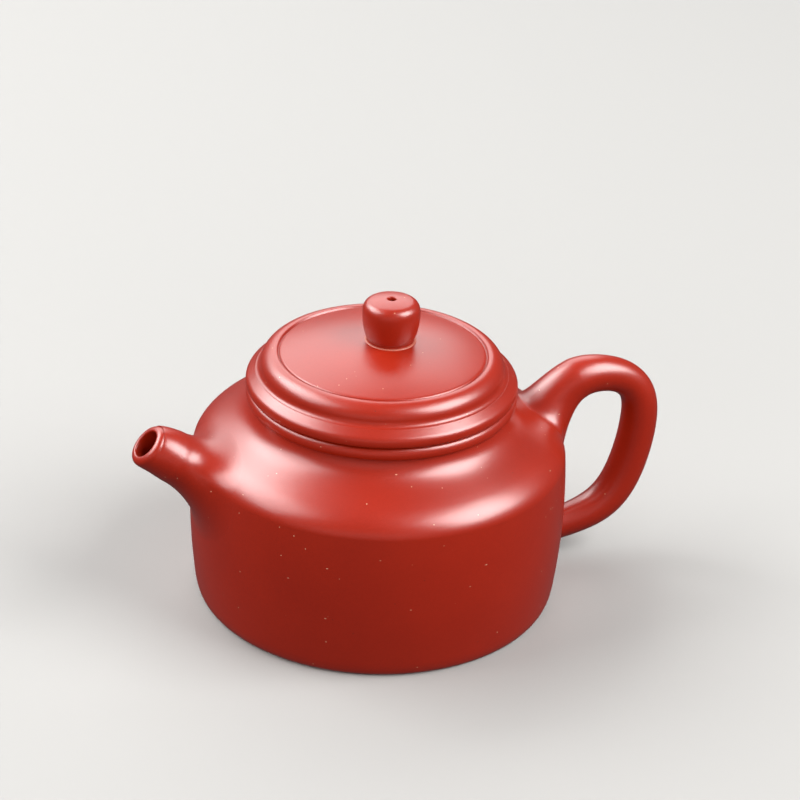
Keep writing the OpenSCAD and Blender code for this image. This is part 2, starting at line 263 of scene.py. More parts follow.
def spin(outline: Array, centre: float = 0.0) -> Surface:
    """Turns an outline once round an upright axis.

    A point at radius r and height z goes to (centre + r cos a, r sin a, z) for
    each angle a. The outline closes on itself, and it is put in the order that
    makes the faces look outwards, which its signed area tells.

    Args:
        outline: points of radius and height, as a loop.
        centre: where the axis stands along X.

    Returns:
        The turned surface, closed.
    """
    line = join(outline)
    if np.linalg.norm(line[0] - line[-1]) < TINY:
        line = line[:-1]
    r, z = line.T
    area = np.sum(r * np.roll(z, -1) - np.roll(r, -1) * z)
    if area < 0:
        r, z = r[::-1], z[::-1]
    on_axis = r < TINY
    counts = np.where(on_axis, 1, ROUND)
    first = np.concatenate([[0], np.cumsum(counts)[:-1]])
    column = np.arange(ROUND)
    numbers = first[:, None] + np.where(on_axis[:, None], 0, column)
    a = 2 * np.pi * column / ROUND
    grid = np.stack([
        centre + r[:, None] * np.cos(a), r[:, None] * np.sin(a), np.repeat(z[:, None], ROUND, 1)
    ], axis=-1)
    keep = np.where(on_axis[:, None], column == 0, True)
    quads, triangles = weave(numbers, wrap=True)
    return Surface(grid[keep], quads, triangles)


def loft(rings: Array, start: Array | None = None, end: Array | None = None) -> Surface:
    """Joins a stack of rings, with a point closing each end.

    Args:
        rings: the rings' points, as (ring, column, 3). They go round so that the
            faces look outwards as the stack climbs.
        start: the point before the first ring, or None to close the stack into a loop.
        end: the point after the last ring, or None likewise.

    Returns:
        The lofted surface, closed.
    """
    rows, columns = rings.shape[:2]
    points = rings.reshape(-1, 3)
    numbers = np.arange(rows * columns).reshape(rows, columns)
    if start is None:
        quads, triangles = weave(numbers, wrap=True)
        return Surface(points, quads, triangles)
    pole = np.ones((1, columns), int)
    numbers = np.vstack([pole * len(points), numbers, pole * (len(points) + 1)])
    quads, triangles = weave(numbers, wrap=False)
    return Surface(np.vstack([points, start, end]), quads, triangles)


def ring(centre: Array, way: Array, radius: Array) -> Array:
    """Circles square to a line that lies in the upright plane y = 0.

    Each circle's points are centre + radius (cos a * across + sin a * Y), where
    across is the line's direction turned a quarter in its plane.

    Args:
        centre: the middle of each circle, one a row.
        way: the line's direction at each circle, one a row.
        radius: each circle's radius.

    Returns:
        The circles' points, as (ring, column, 3).
    """
    a = 2 * np.pi * np.arange(LIMB_ROUND) / LIMB_ROUND
    centre, way = np.atleast_2d(centre), np.atleast_2d(way)
    across = np.stack([-way[:, 2], np.zeros(len(way)), way[:, 0]], axis=1)
    turn = np.cos(a)[:, None] * across[:, None] + np.sin(a)[:, None] * np.array([0.0, 1.0, 0.0])
    return centre[:, None] + np.reshape(radius, (-1, 1, 1)) * turn


def rod(start: Array, end: Array, radius: float, around: int = 32) -> Surface:
    """A straight round rod between two points: a circle at each, square to the line.

    Args:
        start: the middle of one end.
        end: the middle of the other.
        radius: its radius.
        around: segments round it.

    Returns:
        The rod, closed.
    """
    way = unit(end - start)
    side = unit(np.cross(way, [0.0, 1.0, 0.0] if abs(way[1]) < 0.9 else [1.0, 0.0, 0.0]))
    a = 2 * np.pi * np.arange(around) / around
    circle = radius * (np.cos(a)[:, None] * side + np.sin(a)[:, None] * np.cross(way, side))
    return loft(np.stack([start + circle, end + circle]), start, end)


# ---- the body's skin and hollow ----


@dataclass(frozen=True)
class Skin:
    """The outer skin of the body as one outline, from the table up to the mouth bead.

    Attributes:
        body_d: diameter at the belly.
        wall_h: height of the foot of the rounded shoulder.
        shoulder_rise: climb of the shoulder from there to the mouth bead.
        mouth_d: diameter across the mouth bead.
        heel_h: height of the rounded heel.
        edge_slope: slope of the shoulder over its rounded edge, in degrees.
        edge_foot: where the rounded edge starts, in from the belly and down from wall_h.
        edge_end: where it ends, in from the belly and up from wall_h.
        swell: how far past the belly the barrel of the wall is drawn out.
        base_t: thickness of the disc that the wall stands on.
        clay: thickness of the wall and the shoulder.
        mouth_bore_d: inner diameter of the mouth.
    """

    body_d: float = 80.0
    wall_h: float = 34.0
    shoulder_rise: float = 10.9
    mouth_d: float = 56.8
    heel_h: float = 3.3
    edge_slope: float = 30.0
    edge_foot: tuple = (0.45, 1.0)
    edge_end: tuple = (4.6, 3.95)
    swell: float = 0.77
    base_t: float = 3.0
    clay: float = 3.0
    mouth_bore_d: float = 49.0

    @property
    def belly_r(self) -> float:
        """Radius of the belly."""
        return self.body_d / 2

    @property
    def wall_top(self) -> Array:
        """Where the barrel of the wall passes into the rounded edge of the shoulder."""
        return np.array([self.belly_r - self.edge_foot[0], self.wall_h - self.edge_foot[1]])

    @property
    def heel_top(self) -> Array:
        """Where the rounded heel ends and the wall begins."""
        return np.array([self.belly_r - 1.1, self.heel_h])

    @property
    def edge(self) -> Array:
        """Where the rounded edge of the shoulder passes into its slope."""
        return np.array([self.belly_r - self.edge_end[0], self.wall_h + self.edge_end[1]])

    @property
    def bead_z(self) -> float:
        """Height of the foot of the mouth bead."""
        return self.wall_h + self.shoulder_rise

    @property
    def neck(self) -> Array:
        """Where the cove ends under the mouth bead."""
        return np.array([self.mouth_d / 2 - 0.8, self.bead_z])

    @property
    def bore_r(self) -> float:
        """Inner radius of the mouth."""
        return self.mouth_bore_d / 2

    def heel(self) -> Array:
        """The rounded heel, from the table to the wall."""
        foot = np.array([self.belly_r - 2.9, 0.0])
        return bend([foot, foot + [1.1, 0], self.heel_top - [0.25, 1.8], self.heel_top], 24)

    def wall(self) -> Array:
        """The beaten wall, a barrel drawn out towards one place half way up, and the edge's foot.

        Returns:
            The line's points, from the heel up.
        """
        pull = np.array([self.belly_r + self.swell, self.wall_h / 2 + 1.6])
        barrel = bend([
            self.heel_top, self.heel_top + (pull - self.heel_top) * 2 / 3,
            self.wall_top + (pull - self.wall_top) * 2 / 3, self.wall_top,
        ], 72)
        return join(barrel, below(self.turn(), self.wall_h))

    def turn(self) -> Array:
        """The rounded edge of the shoulder, a cubic curve from the barrel to the slope.

        Returns:
            The line's points, from the wall up.
        """
        return bend([
            self.wall_top, self.wall_top + [-0.14, 1.6], self.edge - 2.8 * self.edge_way, self.edge
        ], 60)

    def rounded_edge(self) -> Array:
        """The part of the rounded edge that belongs to the shoulder's disc."""
        return above(self.turn(), self.wall_h)

    def cove(self) -> Array:
        """The slope of the shoulder and the hollow curve up to the mouth bead."""
        return bend([self.edge, self.edge + 4.6 * self.edge_way, self.neck + [0.4, -3.7], self.neck], 72)

    @property
    def edge_way(self) -> Array:
        """Direction of the skin where the rounded edge ends."""
        slope = math.radians(self.edge_slope)
        return np.array([-math.cos(slope), math.sin(slope)])

    @property
    def neck_seat(self) -> Array:
        """Where the neck ring is luted to the shoulder: half way along the cove."""
        cove = self.cove()
        return cove[len(cove) // 2]

    def line(self) -> Array:
        """The whole skin."""
        return join(self.heel(), self.wall(), self.rounded_edge(), self.cove())

    def normals(self) -> Array:
        """The skin's outward direction at each point of its line, across both neighbours."""
        step = np.gradient(self.line(), axis=0)
        return unit(np.stack([step[:, 1], -step[:, 0]], axis=1))

    def lengths(self) -> Array:
        """How far along the skin each point of its line lies."""
        steps = np.linalg.norm(np.diff(self.line(), axis=0), axis=1)
        return np.concatenate([[0.0], np.cumsum(steps)])

    @property
    def wall_way(self) -> float:
        """How far along the skin the top of the wall lies."""
        return float(np.interp(self.wall_h, self.line()[:, 1], self.lengths()))

    def on_skin(self, along: Array, across: Array, side: int) -> Array:
        """Points just under the skin, given by how far along and round it they lie.

        The point at length s has the outline's radius r and height z there, and
        stands at the angle across / r from the plane of the spout and handle.

        Args:
            along: length along the outline.
            across: length round the body.
            side: 1 for the handle's side and -1 for the spout's.

        Returns:
            The points, with a last axis of 3.
        """
        line, way = self.line(), self.lengths()
        r = np.interp(along, way, line[:, 0]) - SINK
        z = np.interp(along, way, line[:, 1])
        a = across / r
        return np.stack([side * r * np.cos(a), r * np.sin(a), z], axis=-1)

    def crossing(self, start: Array, way: Array, outer: float, inner: float) -> Array:
        """Where straight lines come to just under the skin.

        Each line's stretch is halved again and again, keeping the half whose one
        end is inside the skin and whose other end is outside it.

        Args:
            start: where each line starts.
            way: the lines' direction.
            outer: distance from the start to a place outside the skin.
            inner: distance from the start to a place inside it.

        Returns:
            One point for each line.
        """
        line = self.line()
        out, within = np.full(len(start), outer), np.full(len(start), inner)
        for _ in range(40):
            middle = (out + within) / 2
            p = start + middle[:, None] * way
            inside = np.hypot(p[:, 0], p[:, 1]) < np.interp(p[:, 2], line[:, 1], line[:, 0]) - SINK
            out, within = np.where(inside, out, middle), np.where(inside, middle, within)
        return start + out[:, None] * way

    def hollow(self) -> dict[str, Array]:
        """The inner outline from the floor up to the mouth, in named stretches.

        Returns:
            The floor's rounded corner, the wall's inside, the turn under the
            shoulder and the underside of the shoulder.
        """
        floor_r = self.heel_top[0] - self.clay
        side = [floor_r + 0.1, self.base_t + 2.6]
        top = [self.belly_r - 0.5 - self.clay, self.wall_h]
        under = self.wall_h + 3.3 - self.clay
        turn = [self.belly_r - 5.7, under + 0.5]
        bulge = self.belly_r - self.clay + 0.3
        seat = self.neck_seat[1] - self.clay
        return {
            "corner": bend([
                [floor_r - 2, self.base_t], [floor_r - 0.6, self.base_t], [floor_r, self.base_t + 1], side
            ], 10),
            "side": bend([side, [bulge, self.wall_h / 3], [bulge, self.wall_h * 2 / 3], top], 40),
            "turn": bend([top, [top[0] - 0.1, top[1] + 0.5], [turn[0] + 1, under + 0.1], turn], 12),
            "slope": bend([
                turn, [turn[0] - 3, under + 2], [self.bore_r + 3, seat], [self.bore_r, seat + 0.6]
            ], 24),
        }


# ---- finishes ----


@dataclass(frozen=True)
class Specks:
    """Small round marks, each in the middle of a cell of a cell pattern.

    Attributes:
        cell: size of a cell, in metres.
        radius: radius of a mark, in metres.
        share: share of the cells that hold one.
        squash: how much lower than wide the marks are.
    """

    cell: float
    radius: float
    share: float
    squash: float = 1.0


@dataclass(frozen=True)
class Clay:
    """Red clay, fired without a glaze, with a fine grain and sparse pale grains.

    Attributes:
        name: the name of the material.
        slot: the record's finish; not used.
        red: the clay's own colour.
        deep: the colour of the faint clouds in it, where the clay is denser.
        pale: the colour of the sparse pale grains.
        shadow: the colour inside the pits.
        gloss: roughness of the surface.
        ior: index of refraction, which sets how strongly it shines.
        grain_height: height of the fine grain, in metres.
        grain: size of the fine grain, in metres.
        coarse: size of the coarser unevenness, in metres.
        cloud: size of the clouds, in metres.
        rings: height of the fine rings that turning leaves, as a share of the grain's.
        ring_width: width of a ring, in metres.
        round_grains: the small pale grains.
        drawn_grains: the larger pale grains, drawn out level by the beating.
        pits: the pits.
    """

    name: str
    slot: Slot
    red: tuple = (0.315, 0.0128, 0.0018)
    deep: tuple = (0.29, 0.0112, 0.0015)
    pale: tuple = (0.60, 0.30, 0.19)
    shadow: tuple = (0.06, 0.008, 0.004)
    gloss: float = 0.32
    ior: float = 1.6
    grain_height: float = 8e-6
    grain: float = 0.00024
    coarse: float = 0.0009
    cloud: float = 0.014
    rings: float = 0.5
    ring_width: float = 0.00028
    round_grains: Specks = Specks(0.0020, 0.00016, 0.2)
    drawn_grains: Specks = Specks(0.0032, 0.00028, 0.1, 2.4)
    pits: Specks = Specks(0.0019, 0.00016, 0.05)

    def material(self) -> bpy.types.Material:
        """Makes the material, or finds it again.

        The roughness flickers with the fine grain. The bump adds the fine grain
        to the coarser unevenness and the turning's rings, and takes the pits out.

        Returns:
            The material, on object coordinates.
        """
        found = bpy.data.materials.get(self.name)
        if found:
            return found
        material = bpy.data.materials.new(self.name)
        material.use_nodes = True
        tree = NodeTree(material.node_tree)
        place = tree.add("TexCoord").outputs["Object"]
        grain, coarse = tree.noise(place, self.grain, 2, 0.6), tree.noise(place, self.coarse, 2, 0.5)
        pits = tree.specks(place, self.pits)
        rings = tree.math("MULTIPLY", tree.turning(place, self.ring_width), self.rings)
        height = tree.math("ADD", grain, tree.math("MULTIPLY", coarse, 0.8))
        height = tree.math("SUBTRACT", height, tree.math("MULTIPLY", pits, 2.0))
        height = tree.math("ADD", height, rings)
        bump = tree.add("Bump", {"Strength": 1.0, "Distance": self.grain_height, "Height": height})
        tree.fill(tree.shader(), {
            "Base Color": self.colour(tree, place, grain, coarse, pits),
            "Roughness": tree.math("ADD", self.gloss - 0.05, tree.math("MULTIPLY", grain, 0.1)),
            "IOR": self.ior, "Normal": bump.outputs["Normal"],
        })
        return material

    def colour(self, tree: "NodeTree", place: Socket, grain: Socket, coarse: Socket, pits: Socket) -> Socket:
        """Mixes the colour of the clay.

        It is the clay's red, drifting towards its deep colour in soft clouds and
        flickering with the grain, with pale grains laid over it and dark pits.

        Args:
            tree: the material's nodes.
            place: the coordinates.
            grain: the fine grain.
            coarse: the coarser unevenness.
            pits: the pits' mask.

        Returns:
            The colour.
        """
        cloud = tree.noise(place, self.cloud, 3, 0.5)
        clay = tree.mix(tree.ramp(cloud, 0.35, 0.75), self.red, self.deep)
        shade = tree.ramp(grain, 0.25, 0.78, 0.92, 1.08)
        shade = tree.math("MULTIPLY", shade, tree.ramp(coarse, 0.2, 0.8, 0.97, 1.03))
        grains = (tree.specks(place, kind) for kind in (self.round_grains, self.drawn_grains))
        clay = tree.mix(tree.math("MAXIMUM", *grains), tree.scale(clay, shade), self.pale)
        return tree.mix(tree.math("MULTIPLY", pits, 0.6), clay, self.shadow)


class NodeTree:
    """Short names for the nodes that the clay is mixed from."""

    def __init__(self, tree: bpy.types.NodeTree) -> None:
        """Keeps the tree that nodes are added to."""
        self.tree = tree

    def fill(self, node: bpy.types.Node, inputs: dict) -> None:
        """Sets a node's sockets.

        Args:
            node: the node.
            inputs: for each socket's name or number, an output to link to it, or
                the number, vector or colour that it is set to.
        """
        for name, value in inputs.items():
            socket = node.inputs[name]
            if isinstance(value, Socket):
                self.tree.links.new(value, socket)
            else:
                socket.default_value = (*value, 1.0) if socket.type == "RGBA" else value

    def add(self, kind: str, inputs: dict | None = None, **settings: str) -> bpy.types.Node:
        """Adds a node.

        Args:
            kind: its type, without the words that every type starts with.
            inputs: what its sockets are set to.
            settings: its own settings.

        Returns:
            The node.
        """
        node = self.tree.nodes.new("ShaderNode" + kind)
        for name, value in settings.items():
            setattr(node, name, value)
        self.fill(node, inputs or {})
        return node

    def shader(self) -> bpy.types.Node:
        """The tree's own Principled shader."""
        return self.tree.nodes["Principled BSDF"]

    def noise(self, place: Socket, size: float, detail: int, rough: float) -> Socket:
        """Soft noise from 0 to 1 whose largest lumps measure size, in metres."""
        inputs = {"Vector": place, "Scale": 1 / size, "Detail": detail, "Roughness": rough}
        return self.add("TexNoise", inputs).outputs["Fac"]

    def math(self, kind: str, a: Socket | float, b: Socket | float) -> Socket:
        """Works out one number from two."""
        return self.add("Math", {0: a, 1: b}, operation=kind).outputs[0]

    def ramp(self, value: Socket, low: float, high: float, start: float = 0.0, end: float = 1.0) -> Socket:
        """Maps low..high to start..end, held level past both."""
        inputs = {"Value": value, "From Min": low, "From Max": high, "To Min": start, "To Max": end}
        return self.add("MapRange", inputs).outputs[0]

    def mix(self, share: Socket, a: Socket | tuple, b: Socket | tuple) -> Socket:
        """Mixes colour a with colour b by a share from 0 to 1."""
        return self.add("Mix", {0: share, 6: a, 7: b}, data_type="RGBA").outputs[2]

    def scale(self, colour: Socket, by: Socket) -> Socket:
        """Multiplies a colour by a number."""
        return self.add("VectorMath", {0: colour, "Scale": by}, operation="SCALE").outputs[0]

    def stretch(self, place: Socket, by: tuple) -> Socket:
        """Coordinates multiplied by a number along each axis."""
        return self.add("VectorMath", {0: place, 1: by}, operation="MULTIPLY").outputs[0]

    def turning(self, place: Socket, size: float) -> Socket:
        """Fine rings round the axis, in patches: noise of the radius and the height alone.

        Args:
            place: the coordinates.
            size: width of a ring, in metres.

        Returns:
            The rings, from 0 to 1.
        """
        radius = self.add("VectorMath", {0: self.stretch(place, (1.0, 1.0, 0.0))}, operation="LENGTH")
        apart = self.add("SeparateXYZ", {0: place})
        section = self.add("CombineXYZ", {0: radius.outputs["Value"], 2: apart.outputs[2]})
        patches = self.ramp(self.noise(place, 0.006, 1, 0.5), 0.4, 0.65)
        return self.math("MULTIPLY", self.noise(section.outputs[0], size, 2, 0.6), patches)

    def specks(self, place: Socket, kind: Specks) -> Socket:
        """Sparse marks: 1 near the middle of a few cells of a cell pattern, 0 elsewhere.

        Args:
            place: the coordinates.
            kind: the marks' size and number.

        Returns:
            The marks' mask.
        """
        place = self.stretch(place, (1.0, 1.0, kind.squash)) if kind.squash != 1.0 else place
        cells = self.add("TexVoronoi", {"Vector": place, "Scale": 1 / kind.cell})
        edge = kind.radius / kind.cell
        near = self.ramp(cells.outputs["Distance"], edge * 0.6, edge, 1.0, 0.0)
        chance = self.add("SeparateColor", {0: cells.outputs["Color"]})
        return self.math("MULTIPLY", near, self.math("LESS_THAN", chance.outputs[0], kind.share))


BURNISHED = Clay("burnished_red_clay", Slot.BURNISHED)
PLAIN = Clay("plain_red_clay", Slot.PLAIN, gloss=0.55, grain_height=14e-6)
SLIP = Clay(
    "luting_slip", Slot.BURNISHED, red=(0.42, 0.10, 0.06), deep=(0.38, 0.08, 0.05), gloss=0.5, rings=0.0
)


# ---- making a piece ----


def read(items: bpy.types.bpy_prop_collection, name: str, width: int, kind: type = np.float32) -> Array:
    """Reads one property of every item of a mesh.

    Args:
        items: the mesh's vertices, loops or faces.
        name: the property.
        width: how many numbers it has.
        kind: the numbers' type.

    Returns:
        One row for each item.
    """
    values = np.zeros(len(items) * width, kind)
    items.foreach_get(name, values)
    return values.reshape(-1, width)


@dataclass(frozen=True)
class Maker:
    """Puts surfaces into the scene as pieces of the pot.

    Attributes:
        skin: the body's skin, which pieces that lie on it are shaded with.
        crease: the angle between faces past which an edge is sharp, in degrees.
        on_skin_depth: how close to the skin a corner counts as on it, in millimetres.
        same_way: cosine of the angle within which a face looks the same way as the skin.
    """

    skin: Skin
    crease: float = 32.0
    on_skin_depth: float = 0.035
    same_way: float = 0.9

    def make(
        self, name: str, surface: Surface, body: Body, clay: Clay,
        replaces: str | None = None, cut: Surface | None = None, keep: Surface | None = None,
        on_skin: bool = False,
    ) -> bpy.types.Object:
        """Makes a piece, dresses it and puts it on its body.

        Args:
            name: the piece's name.
            surface: its shape.
            body: the body that it rides on.
            clay: its finish.
            replaces: the node that it stands for.
            cut: a shape that is taken out of it.
            keep: a shape that it is cut down to.
            on_skin: shades the corners that lie on the body's skin as the skin.

        Returns:
            The piece.
        """
        piece = bpy.data.objects.new(name, surface.mesh(name))
        bpy.context.collection.objects.link(piece)
        if cut is not None:
            self.carve(piece, cut, "DIFFERENCE")
        if keep is not None:
            self.carve(piece, keep, "INTERSECT")
        self.smooth(piece.data, on_skin)
        piece.data.materials.append(clay.material())
        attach(piece, body.value)
        if replaces:
            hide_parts(replaces)
            self.compare(piece, replaces)
        log.info("%s: %d vertices on %s", name, len(piece.data.vertices), body.value)
        return piece

    @staticmethod
    def carve(piece: bpy.types.Object, tool: Surface, operation: str) -> None:
        """Takes a shape out of a piece, or cuts it down to one, and keeps the result as its mesh.

        Args:
            piece: the piece.
            tool: the shape.
            operation: DIFFERENCE to take it out, or INTERSECT to cut down to it.
        """
        cutter = bpy.data.objects.new("cutter", tool.mesh("cutter"))
        bpy.context.collection.objects.link(cutter)
        modifier = piece.modifiers.new("carve", "BOOLEAN")
        modifier.operation = operation
        modifier.solver = "EXACT"
        modifier.object = cutter
        graph = bpy.context.evaluated_depsgraph_get()
        carved = bpy.data.meshes.new_from_object(piece.evaluated_get(graph))
        piece.modifiers.clear()
        old, piece.data = piece.data, carved
        carved.name = old.name
        bpy.data.meshes.remove(old)
        bpy.data.meshes.remove(cutter.data)

    def smooth(self, mesh: bpy.types.Mesh, on_skin: bool) -> None:
        """Shades a mesh smooth, with its creases sharp.

        A corner whose vertex lies on the body's skin, on a face that looks the
        same way as the skin does there, takes the skin's own direction. Pieces
        that meet on the skin are then shaded as one.

        Args:
            mesh: the mesh.
            on_skin: looks for corners on the skin.
        """
        mesh.polygons.foreach_set("use_smooth", np.ones(len(mesh.polygons), bool))
        mesh.set_sharp_from_angle(angle=math.radians(self.crease))
        if not on_skin:
            return
        x, y, z = (read(mesh.vertices, "co", 3).astype(float) / MM).T
        corners = read(mesh.loops, "vertex_index", 1, np.int32)[:, 0]
        sizes = read(mesh.polygons, "loop_total", 1, np.int32)[:, 0]
        faces = np.repeat(read(mesh.polygons, "normal", 3), sizes, axis=0)
        line, normals = self.skin.line(), self.skin.normals()
        r = np.hypot(x, y)
        out, up = (np.interp(z, line[:, 1], part) for part in normals.T)
        depth = np.abs(r - np.interp(z, line[:, 1], line[:, 0])) * out
        near = (depth < self.on_skin_depth) & (z <= line[-1, 1] + 1e-3)
        share = out / np.maximum(r, TINY)
        way = unit(np.stack([share * x, share * y, up], axis=1))
        match = near[corners] & (np.sum(way[corners] * faces, axis=1) > self.same_way)
        mesh.normals_split_custom_set(np.where(match[:, None], way[corners], 0.0).tolist())

    @staticmethod
    def compare(piece: bpy.types.Object, node: str) -> None:
        """Logs how far a piece's box is from its node's box.

        Args:
            piece: the piece.
            node: the node that it stands for.
        """
        co = read(piece.data.vertices, "co", 3)
        gap = np.abs(np.array([co.min(0), co.max(0)]) - np.array(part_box(node))).max()
        log.info("%s is within %.3f mm of its node's box", piece.name, gap / MM)


# ---- the pot ----


@dataclass(frozen=True)
class Root:
    """The oval seat of a limb on the body's skin, and the hollow curve drawn up from it.

    Attributes:
        along: where the oval's middle lies along the skin, from the top of the wall.
        half_along: half size of the oval along the skin.
        half_across: half size of the oval round the body.
        side: 1 for the handle's side and -1 for the spout's.
        turn: 1 or -1, the way along the skin that the rings' first column looks.
        keep: how far the curve keeps to the skin and to the limb, as a share of
            the way to the line where the two would meet.
    """

    along: float
    half_along: float
    half_across: float
    side: int
    turn: int
    keep: float = 0.6

    def oval(self, skin: Skin, share: float | Array) -> Array:
        """The oval on the skin, or a smaller one inside it.

        Args:
            skin: the body's skin.
            share: size of the oval as a share of the whole one.

        Returns:
            The oval's points.
        """
        a = 2 * np.pi * np.arange(LIMB_ROUND) / LIMB_ROUND
        along = skin.wall_way + self.along + self.turn * self.half_along * share * np.cos(a)
        return skin.on_skin(along, self.half_across * share * np.sin(a), self.side)

    def rings(self, skin: Skin, first: Array, way: Array) -> Array:
        """The root, swept from the oval up into the limb's first ring.

        Each column is a cubic curve from the oval to the limb's first ring, with
        its two inner corners on the skin and on the limb, both the same share of
        the way to the point where the limb, run on straight, would enter the skin.

        Args:
            skin: the body's skin.
            first: the limb's first ring.
            way: the direction of the limb there.

        Returns:
            The rings from the skin up, without the limb's first ring.
        """
        foot = self.oval(skin, 1.0)
        meet = skin.crossing(first, -way, 0.0, 25.0)
        reach = np.linalg.norm(meet - foot, axis=-1, keepdims=True)
        low = foot + self.keep * reach * unit(self.oval(skin, 0.95) - foot)
        high = first + self.keep * (meet - first)
        return cubic(foot, low, high, first, np.linspace(0, 1, ROOT_RINGS + 1)[:-1, None, None])

    def seat(self, skin: Skin) -> Array:
        """The seat: rings that grow over the skin from the oval's middle."""
        return self.oval(skin, np.linspace(0, 1, 8)[1:-1, None])

    def middle(self, skin: Skin) -> Array:
        """The point of the skin at the oval's middle."""
        return skin.on_skin(np.array(skin.wall_way + self.along), np.array(0.0), self.side)


@dataclass(frozen=True)
class Spout:
    """The short spout, luted over the wall and the edge of the shoulder.

    Attributes:
        skin: the body's skin.
        reach: distance of its mouth from the axis of the pot.
        z: height of the centre of its mouth.
        slope: slope at its mouth, in degrees above level.
        tip_r: outer radius at its mouth.
        hole_r: radius of the hole in its mouth.
        root_r: radius where it leaves its root.
        root_slope: slope there, in degrees above level.
        flare: how much wider than high it is there, on each side.
        root: its root.
        channel_r: radius of the channel through the wall.
        lip: how far the rounded lip stands out past the last full ring.
        lip_width: how far the lip's outer rounding reaches in.
        straight: the channel's straight stretch, as a share of its length.
    """

    skin: Skin
    reach: float = 50.9
    z: float = 40.9
    slope: float = 43.5
    tip_r: float = 4.65
    hole_r: float = 3.0
    root_r: float = 5.35
    root_slope: float = 35.5
    flare: float = 0.9
    root: Root = Root(-3.3, 13.0, 16.5, -1, -1, 0.62)
    channel_r: float = 4.3
    lip: float = 1.2
    lip_width: float = 1.3
    straight: float = 0.35

    @property
    def way(self) -> Array:
        """Direction of the spout at its mouth."""
        a = math.radians(self.slope)
        return np.array([-math.cos(a), 0.0, math.sin(a)])

    @property
    def tip(self) -> Array:
        """Centre of the mouth."""
        return np.array([-self.reach, 0.0, self.z])

    @property
    def end(self) -> Array:
        """Centre of the last full ring, under the lip."""
        return self.tip - self.lip * self.way

    @property
    def inside(self) -> Array:
        """Where the channel starts, on the inner face of the wall."""
        return np.array([-(self.skin.belly_r - self.skin.clay - 0.2), 0.0, self.skin.wall_h - 3.2])

    @property
    def channel_way(self) -> Array:
        """Direction of the channel."""
        return unit(self.tip - self.inside)

    @property
    def channel_len(self) -> float:
        """Length of the channel from the wall's inner face to the mouth."""
        return float(np.linalg.norm(self.tip - self.inside))

    def channel(self) -> Surface:
        """The straight stretch of the channel through the wall, as a tool to cut with.

        Returns:
            The tool, closed.
        """
        steps = np.array([-3.0, 0.0, 3.0, self.channel_len * self.straight])
        rings = self.along_channel(steps, np.full(len(steps), self.channel_r))
        return loft(rings, rings[0].mean(0), rings[-1].mean(0))

    def along_channel(self, steps: Array, radii: Array) -> Array:
        """Circles square to the channel, at distances from its inner end."""
        ways = np.repeat(self.channel_way[None], len(steps), 0)
        return ring(self.inside + steps[:, None] * self.channel_way, ways, radii)

    def centre_line(self, t: Array) -> tuple[Array, Array]:
        """The line that the spout follows, a cubic curve in the plane y = 0.

        Args:
            t: places along the line, from 0 at the root to 1 under the lip.

        Returns:
            The points there and the line's direction at each.
        """
        slope = math.radians(self.root_slope)
        first = np.array([-self.skin.belly_r - 5.5, 0.0, self.z - 3.6])
        leave = np.array([-math.cos(slope), 0.0, math.sin(slope)])
        a, b, c, d = first, first + 3.4 * leave, self.end - 0.8 * self.way, self.end
        t = t[:, None]
        s = 1 - t
        return cubic(a, b, c, d, t), unit(s * s * (b - a) + 2 * s * t * (c - b) + t * t * (d - c))

    def rings(self) -> Array:
        """The spout's rings: up its outside, over the lip, down the channel and out over the seat.

        Returns:
            The rings, as (ring, column, 3), closed into a loop.
        """
        t = np.linspace(0, 1, 24)
        centre, way = self.centre_line(t)
        widening = (1 - t)**1.35
        radius = self.tip_r + (self.root_r - self.tip_r) * widening
        outside = ring(centre, way, radius)
        outside[..., 1] *= (1 + self.flare * widening / radius)[:, None]
        root = self.root.rings(self.skin, outside[0], way[0])
        b = np.radians(np.linspace(0, 90, 11))[1:]
        rim_r = self.tip_r - self.lip_width
        edge = rim_r - self.hole_r
        out = np.concatenate([self.lip * np.sin(b), edge * (np.cos(b) - 1) + self.lip])
        lip = ring(
            self.end + out[:, None] * self.way, np.repeat(self.way[None], len(out), 0),
            np.concatenate([rim_r + self.lip_width * np.cos(b), rim_r - edge * np.sin(b)]),
        )
        ends = [self.channel_len * self.straight, self.channel_len - 1.2]
        steps = np.linspace(ends[1], ends[0] + 0.1, 12)
        bore = self.along_channel(steps, np.interp(steps, ends, [self.channel_r, self.hole_r]))
        crossing = self.crossing()
        x, y, z = np.moveaxis(crossing + np.linspace(0, 1, 7)[:-1, None, None] * (root[0] - crossing), -1, 0)
        line = self.skin.line()
        shrink = (np.interp(z, line[:, 1], line[:, 0]) - SINK) / np.hypot(x, y)
        return np.concatenate([root, outside, lip, bore, np.stack([x * shrink, y * shrink, z], axis=-1)])

    def crossing(self) -> Array:
        """The ring where the channel passes through the skin."""
        base = ring(self.inside, self.channel_way, self.channel_r)[0]
        return self.skin.crossing(base, self.channel_way, 12.0, -1.0)

    def build(self, maker: Maker) -> None:
        """Makes the spout."""
        maker.make("clay_spout", loft(self.rings()), Body.POT, BURNISHED, "spout", on_skin=True)


